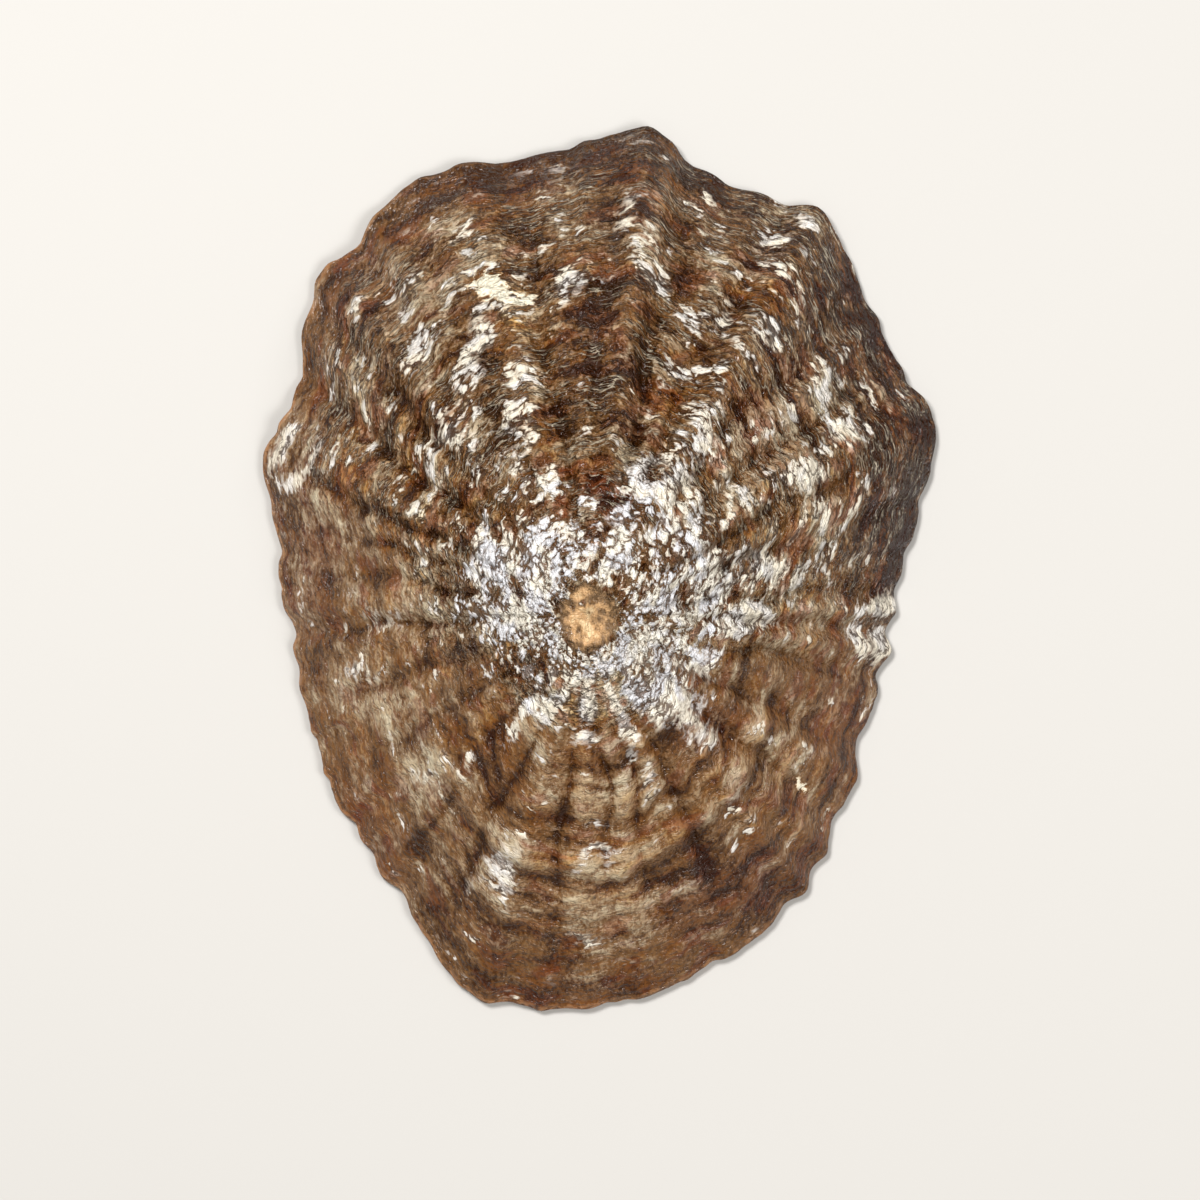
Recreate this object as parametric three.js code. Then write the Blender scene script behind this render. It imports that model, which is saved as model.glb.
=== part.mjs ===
// A limpet shell: the single grown cap of a large brown limpet, open below.
// Millimetres, +Z up. The shell rests on its margin at z = 0, with the narrow head end towards -Y,
// and the origin is the middle of its footprint on the resting plane.
import * as THREE from "three";
import { ParametricGeometry } from "three/addons/geometries/ParametricGeometry.js";

// ---- Driving dimensions ------------------------------------------------------------------------

const HEIGHT = 22.5; // resting plane to the tip of the cone, before the tip was worn
const FLANK_POWER = 1.22; // 1 is a straight cone, larger is a more domed one
const TAIL_DOME = 0.1; // added to the power at the tail end and taken from it at the head end
const TIP_ROUNDING = 0.05; // share of the radius over which the tip is rounded off
const SCAR_RADIUS = 2.5; // the worn spot on the tip
const SCAR_DEPTH = 0.5;
const EDGE_HEIGHT = 0.9; // how far the margin's upper lip stands above its lower one
const LIP_WIDTH = 1.0; // the margin's resting face, measured across it
const LIP_UNDERCUT = 0.2; // how far the lower lip is drawn in from the upper one
const WALL_AT_TIP = 3.2; // vertical thickness of the wall under the tip
const WALL_AT_FLANK = 2.3; // and halfway down
const RIB_END_LIFT = 0.7; // how far the strongest rib ends arch off the resting plane

// The margin as [direction in degrees, distance from the tip]. Directions run anticlockwise from +X,
// seen from above: the shell's corners are the ends of its strongest folds.
const MARGIN = [
  [0, 27.5], [6, 27.8], [11, 29.1], [17, 30.8], [23, 33.4], [29, 35.3], [36, 35.4], [43, 36.0],
  [49, 37.7], [55, 40.0], [60, 41.5], [64, 40.9], [72, 40.5], [78, 41.3], [80, 42.8], [84, 44.0],
  [89, 42.6], [96, 41.2], [102, 41.3], [108, 41.8], [113, 41.5], [118, 40.6], [123, 38.9],
  [129, 38.8], [133, 37.1], [137, 35.5], [141, 33.3], [149, 32.5], [154, 32.7], [157, 31.7],
  [162, 30.2], [166, 28.5], [173, 28.0], [177, 27.7], [184, 26.4], [190, 26.8], [197, 27.0],
  [207, 27.1], [213, 27.9], [220, 28.6], [227, 29.0], [232, 30.0], [237, 30.5], [242, 32.3],
  [247, 34.2], [252, 35.8], [263, 36.0], [269, 35.8], [275, 35.1], [281, 34.7], [288, 33.7],
  [296, 32.9], [303, 31.9], [310, 31.0], [317, 29.5], [321, 28.4], [328, 28.2], [335, 26.5],
  [342, 26.9], [347, 26.6], [352, 27.2], [356, 26.9],
];

// The radial folds, each from its groove to the next fold's. floor is the height of that groove, rise
// the height of the fold's crest, lobe how far the crest carries the growth lines outwards, and reach
// the share of the relief that is left at the margin.
const FOLDS = [
  { groove: 5, floor: 0, rise: 1.0, lobe: 1.0, reach: 0.6 },
  { groove: 17, floor: 0.3, rise: 1.1, lobe: 1.2, reach: 0.6 },
  { groove: 28, floor: 0, rise: 1.8, lobe: 1.9, reach: 1.0 },
  { groove: 40, floor: 0.2, rise: 1.4, lobe: 1.4, reach: 0.5 },
  { groove: 51, floor: 0, rise: 1.8, lobe: 2.2, reach: 0.9 },
  { groove: 65, floor: 0, rise: 1.5, lobe: 2.0, reach: 0.6 },
  { groove: 75, floor: 0, rise: 2.0, lobe: 2.1, reach: 1.0 },
  { groove: 87, floor: 1.0, rise: 2.0, lobe: 1.9, reach: 0.4 },
  { groove: 99, floor: 0, rise: 1.7, lobe: 1.8, reach: 0.7 },
  { groove: 114, floor: 0, rise: 2.0, lobe: 3.2, reach: 0.8 },
  { groove: 131, floor: 0.1, rise: 1.3, lobe: 1.4, reach: 0.6 },
  { groove: 141, floor: 0, rise: 2.1, lobe: 3.6, reach: 1.0 },
  { groove: 155, floor: 0.1, rise: 1.1, lobe: 1.6, reach: 0.4 },
  { groove: 163, floor: 0.3, rise: 1.2, lobe: 1.7, reach: 0.4 },
  { groove: 172, floor: 0.2, rise: 1.2, lobe: 1.5, reach: 0.3 },
  { groove: 185, floor: 0.2, rise: 1.0, lobe: 1.0, reach: 0.2 },
  { groove: 200, floor: 0.3, rise: 0.9, lobe: 0.8, reach: 0.2 },
  { groove: 216, floor: 0.3, rise: 0.9, lobe: 0.8, reach: 0.2 },
  { groove: 232, floor: 0.2, rise: 1.0, lobe: 1.0, reach: 0.2 },
  { groove: 246, floor: 0, rise: 1.4, lobe: 1.1, reach: 0.4 },
  { groove: 263, floor: 0.1, rise: 1.3, lobe: 1.2, reach: 0.3 },
  { groove: 275, floor: 0.2, rise: 1.1, lobe: 1.1, reach: 0.2 },
  { groove: 284, floor: 0.2, rise: 1.2, lobe: 1.1, reach: 0.2 },
  { groove: 294, floor: 0, rise: 1.7, lobe: 1.8, reach: 0.2 },
  { groove: 318, floor: 0, rise: 1.3, lobe: 1.7, reach: 0.3 },
  { groove: 331, floor: 0.1, rise: 1.4, lobe: 2.0, reach: 0.3 },
  { groove: 346, floor: 0.1, rise: 1.3, lobe: 1.6, reach: 0.4 },
  { groove: 357, floor: 0.3, rise: 1.1, lobe: 0.9, reach: 0.5 },
];

// Where growth stopped and started again under the old edge: the age of each ledge's brink (0 at the
// tip, 1 at the margin) and its drop.
const LEDGES = [
  { age: 0.22, drop: 0.25 },
  { age: 0.37, drop: 0.3 },
  { age: 0.51, drop: 0.4 },
  { age: 0.65, drop: 0.9 },
  { age: 0.8, drop: 0.45 },
  { age: 0.92, drop: 0.25 },
];
const LEDGE_RUN = 0.02; // age from a ledge's brink to its foot

const THREADS = 48; // fine radial threads, which scallop the margin
const THREAD_RISE = 0.12;
const SCALLOP_DEPTH = 0.15;

// A lump of old crust grown over the margin on the +X side.
const CRUST = { x: 26.5, y: 1.1, radius: 1.1, rise: 1.0 };

// How finely the surface is cut into facets.
const FACET_DEGREES = 2.2;
const PLAIN_AGES = [0, 0.04, 0.09, 0.15, 0.3, 0.44, 0.58, 0.73, 0.86, 0.97, 1];
const INNER_SHARES = [1, 0.92, 0.75, 0.5, 0.2, 0];

// ---- Helpers -----------------------------------------------------------------------------------

const TURN = 2 * Math.PI;
const blend = (a, b, t) => a + (b - a) * t;
const wrapDegrees = (x) => ((x % 360) + 360) % 360;

// 0 below low, 1 above high, and an S-curve between them.
function smoothStep(low, high, x) {
  const t = Math.min(1, Math.max(0, (x - low) / (high - low)));
  return t * t * (3 - 2 * t);
}

// ---- The margin --------------------------------------------------------------------------------

// A smooth closed curve through the margin's points: a cubic between each two neighbours, whose slope
// at a point is that of the line joining the points on either side of it.
function marginRadius(degrees) {
  const at = wrapDegrees(degrees);
  const before = MARGIN.findLastIndex(([direction]) => direction <= at);
  const [[x0, y0], [x1, y1], [x2, y2], [x3, y3]] = [-1, 0, 1, 2].map((step) => {
    const laps = Math.floor((before + step) / MARGIN.length);
    const [direction, radius] = MARGIN[before + step - laps * MARGIN.length];
    return [direction + laps * 360, radius];
  });
  const span = x2 - x1;
  const t = (at - x1) / span;
  const slope1 = ((y2 - y0) / (x2 - x0)) * span;
  const slope2 = ((y3 - y1) / (x3 - x1)) * span;
  const cubic = 2 * (y1 - y2) + slope1 + slope2;
  const square = 3 * (y2 - y1) - 2 * slope1 - slope2;
  return ((cubic * t + square) * t + slope1) * t + y1;
}

// The young shell was a plain oval: the first few harmonics of the margin.
const OVAL_HARMONICS = [0, 1, 2, 3].map((n) => {
  const terms = { n, cos: 0, sin: 0 };
  const share = n === 0 ? 1 / 360 : 2 / 360;
  for (let degrees = 0; degrees < 360; degrees++) {
    const angle = THREE.MathUtils.degToRad(degrees * n);
    terms.cos += share * marginRadius(degrees) * Math.cos(angle);
    terms.sin += share * marginRadius(degrees) * Math.sin(angle);
  }
  return terms;
});

function ovalRadius(degrees) {
  const angle = THREE.MathUtils.degToRad(degrees);
  return OVAL_HARMONICS.reduce(
    (sum, { n, cos, sin }) => sum + cos * Math.cos(n * angle) + sin * Math.sin(n * angle),
    0,
  );
}

// ---- Columns: the directions in which the surface is worked out ----------------------------------

// Every groove gets a column, and each fold is cut evenly between its two grooves.
const columns = FOLDS.flatMap((fold, i) => {
  const next = FOLDS[(i + 1) % FOLDS.length];
  const width = wrapDegrees(next.groove - fold.groove);
  const facets = Math.max(3, Math.round(width / FACET_DEGREES));
  return Array.from({ length: facets }, (_, k) => {
    const across = k / facets;
    const degrees = fold.groove + across * width;
    const angle = THREE.MathUtils.degToRad(degrees);
    const crest = 1 - Math.abs(2 * across - 1) ** 2.2;
    const thread = Math.cos(THREADS * angle);
    return {
      cos: Math.cos(angle),
      sin: Math.sin(angle),
      margin: marginRadius(degrees) + SCALLOP_DEPTH * thread,
      oval: ovalRadius(degrees),
      thread,
      relief: blend(blend(fold.floor, next.floor, across), fold.rise, crest),
      lobe: fold.lobe * crest,
      reach: blend(blend(fold.reach, next.reach, across) / 2, fold.reach, crest),
    };
  });
});

// ---- Relief ------------------------------------------------------------------------------------

const FOLD_LEVEL = 0.9; // the mean height of the folds, which the cone runs through

function foldRelief(column, share) {
  const grown = smoothStep(0.08, 0.45, share);
  const kept = blend(1, column.reach, smoothStep(0.6, 1, share));
  return (column.relief - FOLD_LEVEL) * grown * kept;
}

// The surface climbs above the cone as it nears each stop in growth, then drops at the ledge.
function ledgeRelief(age) {
  let foot = 0;
  for (const ledge of LEDGES) {
    if (age <= ledge.age) return ledge.drop * ((age - foot) / (ledge.age - foot)) ** 2;
    foot = ledge.age + LEDGE_RUN;
    if (age <= foot) return ledge.drop * ((foot - age) / LEDGE_RUN);
  }
  return 0;
}

function crustRelief(x, y) {
  const away = Math.hypot(x - CRUST.x, y - CRUST.y) / CRUST.radius;
  return CRUST.rise * Math.exp(-(away ** 4));
}

// Broad unevenness of an old shell.
function unevenness(x, y) {
  const wide = 0.35 * Math.sin(0.21 * x + 0.9) * Math.cos(0.17 * y - 0.4);
  return wide + 0.2 * Math.sin(0.33 * x - 0.27 * y + 2.1);
}

// ---- The surface -------------------------------------------------------------------------------

const UNROUNDED = Math.hypot(1, TIP_ROUNDING) - TIP_ROUNDING;

function coneHeight(column, share) {
  const rounded = (Math.hypot(share, TIP_ROUNDING) - TIP_ROUNDING) / UNROUNDED;
  const power = FLANK_POWER + TAIL_DOME * column.sin;
  return EDGE_HEIGHT + (HEIGHT - EDGE_HEIGHT) * (1 - rounded ** power);
}

function ribEndLift(column) {
  return RIB_END_LIFT * Math.max(0, (column.relief * column.reach) / 2 - 0.3);
}

// A growth line: an oval near the tip, the margin at the end, and between them bulging over the folds.
function growthLine(column, age) {
  const bulge = 6.75 * age ** 2 * (1 - age);
  return age * blend(column.oval, column.margin, age ** 2) + column.lobe * bulge;
}

function outerPoint(column, age, target) {
  const radius = growthLine(column, age);
  const share = radius / column.margin;
  const x = radius * column.cos;
  const y = radius * column.sin;
  const offEdge = 1 - share ** 10; // the relief dies out on the lip itself
  const offTip = smoothStep(0.1, 0.4, share);
  let height = coneHeight(column, share);
  height += foldRelief(column, share) * blend(0.3, 1, offEdge);
  height += (ledgeRelief(age) + crustRelief(x, y)) * offEdge;
  height += (THREAD_RISE * column.thread + unevenness(x, y)) * offTip * offEdge;
  height -= SCAR_DEPTH * Math.exp(-((radius / SCAR_RADIUS) ** 4));
  height += ribEndLift(column) * share ** 8;
  return target.set(x, y, height);
}

function lipPoint(column, target) {
  const radius = column.margin - LIP_UNDERCUT;
  return target.set(radius * column.cos, radius * column.sin, ribEndLift(column));
}

// The inside follows the cone, and keeps a trace of the folds near the margin.
function innerPoint(column, share, target) {
  const radius = share * (column.margin - LIP_UNDERCUT - LIP_WIDTH);
  const outerShare = radius / column.margin;
  const wall = blend(WALL_AT_TIP, WALL_AT_FLANK, smoothStep(0, 0.5, share));
  const folds = 0.4 * foldRelief(column, share) * smoothStep(0.5, 0.9, share);
  const roof = coneHeight(column, outerShare) - wall + folds;
  const height = blend(roof, ribEndLift(column), smoothStep(0.85, 1, share));
  return target.set(radius * column.cos, radius * column.sin, height);
}

// One closed sheet: out over the top from the tip, round the lip, and back up the inside.
const ledgeAges = LEDGES.flatMap(({ age }) => [age, age + LEDGE_RUN]);
const outerAges = [...PLAIN_AGES, ...ledgeAges].sort((a, b) => a - b);
const stations = [
  ...outerAges.map((age) => (column, target) => outerPoint(column, age, target)),
  lipPoint,
  ...INNER_SHARES.map((share) => (column, target) => innerPoint(column, share, target)),
];

function shellGeometry() {
  const rings = stations.length - 1;
  const geometry = new ParametricGeometry(
    (u, v, target) => {
      const column = columns[Math.round((1 - u) * columns.length) % columns.length];
      return stations[Math.round(v * rings)](column, target);
    },
    columns.length,
    rings,
  );
  geometry.computeBoundingBox();
  const { min, max } = geometry.boundingBox;
  return geometry.translate(-(min.x + max.x) / 2, -(min.y + max.y) / 2, -min.z);
}

const material = new THREE.MeshStandardMaterial({ color: 0x7d5f48, roughness: 0.45, metalness: 0 });
const shell = new THREE.Mesh(shellGeometry(), material);
shell.name = "shell";

const limpet = new THREE.Group();
limpet.add(shell);

export default limpet;
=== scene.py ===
# %% [markdown]
# # A limpet shell
# The object is the single shell of a large brown limpet: a low cone with a wavy edge, open below, just
# under 80 mm from head to tail. It grew outwards from its tip, so everything on it is told by two
# numbers: the direction seen from the tip, and how old the shell was there. It could be sculpted by
# hand, but this lesson works the surface out from those two with numpy, stores a few numbers on the
# mesh, and lets the materials read them. So the pattern follows the growth lines, as on a real shell.

import math
from types import SimpleNamespace

import bpy
import numpy as np
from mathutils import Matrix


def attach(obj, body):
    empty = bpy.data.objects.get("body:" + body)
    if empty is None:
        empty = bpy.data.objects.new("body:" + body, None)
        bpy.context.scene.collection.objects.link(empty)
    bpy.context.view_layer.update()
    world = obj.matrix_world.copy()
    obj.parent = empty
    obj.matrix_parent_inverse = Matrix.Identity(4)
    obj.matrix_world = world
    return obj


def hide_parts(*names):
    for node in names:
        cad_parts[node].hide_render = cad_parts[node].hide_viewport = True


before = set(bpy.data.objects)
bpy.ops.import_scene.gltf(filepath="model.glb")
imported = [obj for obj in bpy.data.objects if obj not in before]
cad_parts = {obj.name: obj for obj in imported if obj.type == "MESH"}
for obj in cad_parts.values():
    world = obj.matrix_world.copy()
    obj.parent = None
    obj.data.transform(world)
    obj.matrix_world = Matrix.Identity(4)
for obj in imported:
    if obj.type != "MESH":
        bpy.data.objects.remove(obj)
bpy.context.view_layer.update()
MM = 0.001  # everything below is worked out in millimetres, and Blender works in metres
TURN = 2 * math.pi

# %% [markdown]
# ## The camera
# A limpet is looked at from straight above. A camera close by would make the tip, which is nearer to
# it, look larger than it is, so a long lens far away is used. The view is as wide as 108 mm on the
# table, and its middle lies a little towards the head end, so the shell sits slightly high in the frame.

# %% Camera
VIEW_WIDTH = 108 * MM
VIEW_MIDDLE = (0.05 * MM, -2.8 * MM)
LENS, SENSOR = 200, 36

camera = bpy.data.objects.new("camera", bpy.data.cameras.new("camera"))
camera.data.lens, camera.data.sensor_width = LENS, SENSOR
camera.location = (*VIEW_MIDDLE, VIEW_WIDTH * LENS / SENSOR)
bpy.context.scene.collection.objects.link(camera)
bpy.context.scene.camera = camera
print("The camera stands", round(camera.location.z, 3), "m above the table")

# %% [markdown]
# ## Small tools
# Random-looking detail has to be the same in every run, so it comes from one table of numbers with a
# fixed seed. Blender has noise of its own, but ring noise, which reads that table on a grid of cells,
# closes on itself round the shell without a seam. In each call below, the last two numbers are how many
# cells go round the shell and a seed of its own, and the number next to AGE is how many lie along it.

# %% Steps and blends
def smooth_step(low, high, x):
    """0 below low, 1 above high, and an S-shaped curve, 3t^2 - 2t^3, between them."""
    t = np.clip((x - low) / (high - low), 0, 1)
    return t * t * (3 - 2 * t)


def between(start, full, fade, end, x):
    """0 up to start, 1 from full to fade and 0 again from end, with an S-shaped curve on each side."""
    return smooth_step(start, full, x) * (1 - smooth_step(fade, end, x))


def blend(a, b, t):
    """a where t is 0, b where t is 1, and a straight line between them."""
    return a + (b - a) * t


# %% Noise
TABLE_SIZE = 256
LATTICE = np.random.default_rng(11).random((TABLE_SIZE, TABLE_SIZE))
SEED_SHIFT = (37, 59)  # how far one more on a seed moves the place where the table is read


def lattice_noise(x, y, wrap, seed):
    """Numbers from the table at whole x and y, with an S-shaped blend between. x repeats after wrap."""
    x0, y0 = np.floor(x).astype(int), np.floor(y).astype(int)
    across, along = smooth_step(0, 1, x - x0), smooth_step(0, 1, y - y0)
    shift_x, shift_y = SEED_SHIFT[0] * seed, SEED_SHIFT[1] * seed
    left, right = (x0 % wrap + shift_x) % TABLE_SIZE, ((x0 + 1) % wrap + shift_x) % TABLE_SIZE
    low, high = (y0 + shift_y) % TABLE_SIZE, (y0 + 1 + shift_y) % TABLE_SIZE
    near = blend(LATTICE[left, low], LATTICE[right, low], across)
    far = blend(LATTICE[left, high], LATTICE[right, high], across)
    return blend(near, far, along)


def ring_noise(direction, along, cells, seed):
    """Noise from -1 to 1 with that many cells round the shell, and one cell per unit of along."""
    return 2 * lattice_noise(direction / TURN * cells, along, cells, seed) - 1


def flat_noise(x, y, size, seed):
    """Noise from -1 to 1 on the plane, with cells of that size, turned so that none lies along an axis."""
    return 2 * lattice_noise((0.8 * x + 0.6 * y) / size, (0.8 * y - 0.6 * x) / size, TABLE_SIZE, seed) - 1


print("Noise table:", LATTICE.shape, "numbers")

# %% [markdown]
# ## The edge
# The edge, or margin, is the last growth line. It isn't an oval, which would be one short formula: the
# strongest folds push out corners, and the tail end has a small beak. So a few dozen listed points hold
# it, each a direction from the tip in degrees, anticlockwise from +X, and a distance in mm.
# A cubic runs between each two, which keeps the curve smooth through them.

# %% The edge as a curve round the tip
MARGIN = np.array([
    [0, 27.5], [6, 27.8], [11, 29.1], [17, 30.8], [23, 33.4], [29, 35.3], [36, 35.4], [43, 36],
    [49, 37.7], [55, 40], [60, 41.5], [64, 40.9], [72, 40.5], [78, 41.3], [80, 42.8], [84, 44],
    [89, 42.6], [96, 41.2], [102, 41.3], [108, 41.8], [113, 41.5], [118, 40.6], [123, 38.9],
    [129, 38.8], [133, 37.1], [137, 35.5], [141, 33.3], [149, 32.5], [154, 32.7], [157, 31.7],
    [162, 30.2], [166, 28.5], [173, 28], [177, 27.7], [184, 26.4], [190, 26.8], [197, 27],
    [207, 27.1], [213, 27.9], [220, 28.6], [227, 29], [232, 30], [237, 30.5], [242, 32.3],
    [247, 34.2], [252, 35.8], [263, 36], [269, 35.8], [275, 35.1], [281, 34.7], [288, 33.7],
    [296, 32.9], [303, 31.9], [310, 31], [317, 29.5], [321, 28.4], [328, 28.2], [335, 26.5],
    [342, 26.9], [347, 26.6], [352, 27.2], [356, 26.9],
])


def margin_radius(degrees):
    """A cubic between each two points, whose slope at each is that of the line joining its neighbours."""
    lap = np.array([360, 0])
    points = np.vstack([MARGIN[-2:] - lap, MARGIN, MARGIN[:3] + lap])
    slopes = np.zeros(len(points))
    slopes[1:-1] = (points[2:, 1] - points[:-2, 1]) / (points[2:, 0] - points[:-2, 0])
    at = degrees % 360
    i = np.searchsorted(points[:, 0], at, side="right") - 1
    (x1, y1), (x2, y2) = points[i].T, points[i + 1].T
    span = x2 - x1
    t = (at - x1) / span
    slope1, slope2 = slopes[i] * span, slopes[i + 1] * span
    cubic = 2 * (y1 - y2) + slope1 + slope2
    square = 3 * (y2 - y1) - 2 * slope1 - slope2
    return ((cubic * t + square) * t + slope1) * t + y1


print(len(MARGIN), "points hold the edge")

# %% Directions, the edge, and the oval that the young shell had
# The edge is scalloped by the threads and has fine notches of two sizes. The oval is the sum of the
# edge's broadest waves alone, with the narrower ones left out.
AROUND = 576
THREADS, SCALLOP_DEPTH = 48, 0.15
OVAL_WAVES = 4

direction = np.arange(AROUND) * TURN / AROUND
degrees = np.degrees(direction)
ragged = 0.22 * ring_noise(direction, 0, 110, 3) + 0.12 * ring_noise(direction, 5, 230, 4)
margin = margin_radius(degrees) + SCALLOP_DEPTH * np.cos(THREADS * direction) + ragged
waves = np.fft.rfft(margin_radius(degrees))
waves[OVAL_WAVES:] = 0
oval = np.fft.irfft(waves, AROUND)

edge_x, edge_y = margin * np.cos(direction), margin * np.sin(direction)
TIP_X = -(edge_x.min() + edge_x.max()) / 2
TIP_Y = -(edge_y.min() + edge_y.max()) / 2
print("Edge in mm:", round(np.ptp(edge_x), 1), "by", round(np.ptp(edge_y), 1))
print("The tip stands at", round(TIP_X, 2), round(TIP_Y, 2))

# %% [markdown]
# ## The folds
# The shell is pleated like a fan. Each fold runs from one groove to the next, and its crest carries
# every growth line outwards in a garland. A sine wave would make them all alike, so a table gives each
# fold's groove in degrees, then in mm the height of that groove, the rise of the crest and how far the
# crest carries the growth lines, and last the share of the fold that is left at the edge.

# %% The folds
FOLDS = np.array([
    [5, 0, 1, 1, 0.6], [17, 0.3, 1.1, 1.2, 0.6], [28, 0, 1.8, 1.9, 1], [40, 0.2, 1.4, 1.4, 0.5],
    [51, 0, 1.8, 2.2, 0.9], [65, 0, 1.5, 2, 0.6], [75, 0, 2, 2.1, 1], [87, 1, 2, 1.9, 0.4],
    [99, 0, 1.7, 1.8, 0.7], [114, 0, 2, 3.2, 0.8], [131, 0.1, 1.3, 1.4, 0.6], [141, 0, 2.1, 3.6, 1],
    [155, 0.1, 1.1, 1.6, 0.4], [163, 0.3, 1.2, 1.7, 0.4], [172, 0.2, 1.2, 1.5, 0.3],
    [185, 0.2, 1, 1, 0.2], [200, 0.3, 0.9, 0.8, 0.2], [216, 0.3, 0.9, 0.8, 0.2],
    [232, 0.2, 1, 1, 0.2], [246, 0, 1.4, 1.1, 0.4], [263, 0.1, 1.3, 1.2, 0.3],
    [275, 0.2, 1.1, 1.1, 0.2], [284, 0.2, 1.2, 1.1, 0.2], [294, 0, 1.7, 1.8, 0.2],
    [318, 0, 1.3, 1.7, 0.3], [331, 0.1, 1.4, 2, 0.3], [346, 0.1, 1.3, 1.6, 0.4],
    [357, 0.3, 1.1, 0.9, 0.5],
])
FOLD_LEVEL = 0.9  # the mean height of the folds, which the cone runs through


def fold_shape(degrees):
    """The height, lobe, reach and crest of the folds in those directions.

    The crest is 1 - |2t - 1|^2.2 on the share t of the way from groove to groove, a flat-topped hump.
    Height and reach rise by it from the line between the grooves, and the lobe is in proportion to it.
    """
    fold = np.searchsorted(FOLDS[:, 0], degrees % 360, side="right") - 1
    here, there = FOLDS[fold], FOLDS[(fold + 1) % len(FOLDS)]
    across = ((degrees - here[..., 0]) % 360) / ((there[..., 0] - here[..., 0]) % 360)
    crest = 1 - np.abs(2 * across - 1) ** 2.2
    height = blend(blend(here[..., 1], there[..., 1], across), here[..., 2], crest)
    reach = blend(blend(here[..., 4], there[..., 4], across) / 2, here[..., 4], crest)
    return height, here[..., 3] * crest, reach, crest


print(len(FOLDS), "folds, up to", FOLDS[:, 2].max(), "mm high")

# %% [markdown]
# ## Growth lines
# A growth line is where the edge once was. Near the tip it is a small oval; later it takes the shape of
# the edge and bulges over the folds. A flat grid cut to the edge would be simpler, but here every ring
# of the mesh is one growth line, so ledges and stripes follow them by themselves. The rings lie closer
# near the tip, where the detail is finer. A grid such as AGE has a number for each point of each line.

# %% The grid of growth lines
RINGS = 152
age = (np.arange(1, RINGS + 1) / RINGS) ** 1.1
AGE, DIRECTION = np.meshgrid(age, direction, indexing="ij")
TAILWARD = np.sin(DIRECTION)  # 1 at the tail end, -1 at the head end


def sector(middle, half_width):
    """exp(-((d - middle) / half_width)^4) of each direction d in degrees: 1 near the middle, 0 far off."""
    return np.exp(-(((np.degrees(DIRECTION) - middle) / half_width) ** 4))


meander = 2.2 * ring_noise(DIRECTION, AGE * 7, 22, 41) + 1.2 * ring_noise(DIRECTION, AGE * 13, 47, 42)
FOLD, LOBE, REACH, CREST = fold_shape(np.degrees(DIRECTION) + meander * (1 - AGE**6))
LOBE_SHARE = blend(0.12, 0.32, smooth_step(-0.2, 0.6, TAILWARD))  # the lobes reach least at the head end


def growth_line(age):
    """age times a shape that turns from the oval into the edge, plus the lobes of the folds in between."""
    bulge = 6.75 * age**2 * (1 - age)
    return age * blend(oval, margin, age**2) + LOBE_SHARE * LOBE * bulge


print("A lobe carries a growth line out by", round((LOBE_SHARE * LOBE).max(), 2), "mm at most")

# %% Threads
# Fine threads run out from the tip over the folds. Each growth line bulges over every thread and turns
# back sharply between two, most of all at the tail end, where the shell is roughest.
tail_side = smooth_step(-0.5, 0.35, TAILWARD + 0.3 * ring_noise(DIRECTION, AGE * 4, 7, 5))
smooth_side = sector(198, 48) * smooth_step(0.45, 0.7, AGE)
smooth_rim = blend(0.55, 0.15, smooth_step(-0.3, 0.7, np.cos(DIRECTION))) * smooth_step(0.8, 1, AGE)
rough = blend(0.5, 1, tail_side) * (1 - smooth_rim) * (1 - 0.6 * smooth_side)
thread = np.abs(ring_noise(DIRECTION + 0.03 * ring_noise(DIRECTION, AGE * 9, 40, 10), AGE * 7, 62, 6))
THREAD = 0.7 * (thread - 0.3) * rough * smooth_step(0.12, 0.3, AGE)
wander = 0.3 * ring_noise(DIRECTION, AGE * 9, 58, 8) + 0.15 * ring_noise(DIRECTION, AGE * 17, 121, 9)
wander += 0.7 * ring_noise(DIRECTION, AGE * 6, 31, 11) * rough
RADIUS = growth_line(AGE) + (0.6 * THREAD + wander * smooth_step(0.15, 0.5, AGE)) * (1 - AGE**8)
SHARE = RADIUS / margin
X, Y = RADIUS * np.cos(DIRECTION), RADIUS * np.sin(DIRECTION)
print(RINGS, "growth lines of", AROUND, "points")

# %% [markdown]
# ## The cone and its relief
# The height is a sum: a low rounded cone, the folds, the ledges where growth stopped and started again,
# a broad unevenness, the worn scar on the tip and a lump of old crust on the edge. A Displace modifier
# could push a texture in, but in a sum each part keeps its own place and size. The broad parts are the
# same kind of sums as the solid was made with, so the two agree, and the finer ones are added here.

# %% The cone
TIP_HEIGHT, EDGE_HEIGHT = 22.5, 0.9
FLANK_POWER, TAIL_DOME = 1.22, 0.1
TIP_ROUNDING = 0.05
FOLD_DEPTH = 0.8  # the share of the folds' height that this skin shows


def cone_height(share, direction):
    """The tip's height less a power of the share of the way to the edge, rounded off at the tip."""
    rounding = math.hypot(1, TIP_ROUNDING) - TIP_ROUNDING
    rounded = (np.hypot(share, TIP_ROUNDING) - TIP_ROUNDING) / rounding
    power = FLANK_POWER + TAIL_DOME * np.sin(direction)
    return EDGE_HEIGHT + (TIP_HEIGHT - EDGE_HEIGHT) * (1 - rounded**power)


def fold_relief(share, height, reach):
    """The folds' own height about their mean, growing out from the tip and fading towards the edge."""
    grown = smooth_step(0.08, 0.45, share)
    kept = blend(1, reach, smooth_step(0.6, 1, share))
    return (height - FOLD_LEVEL) * grown * kept


off_edge = 1 - SHARE**10
Z = cone_height(SHARE, DIRECTION)
Z += FOLD_DEPTH * fold_relief(SHARE, FOLD, REACH) * blend(0.3, 1, off_edge)
print("The folded cone is", round(Z.max(), 2), "mm high")

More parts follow.
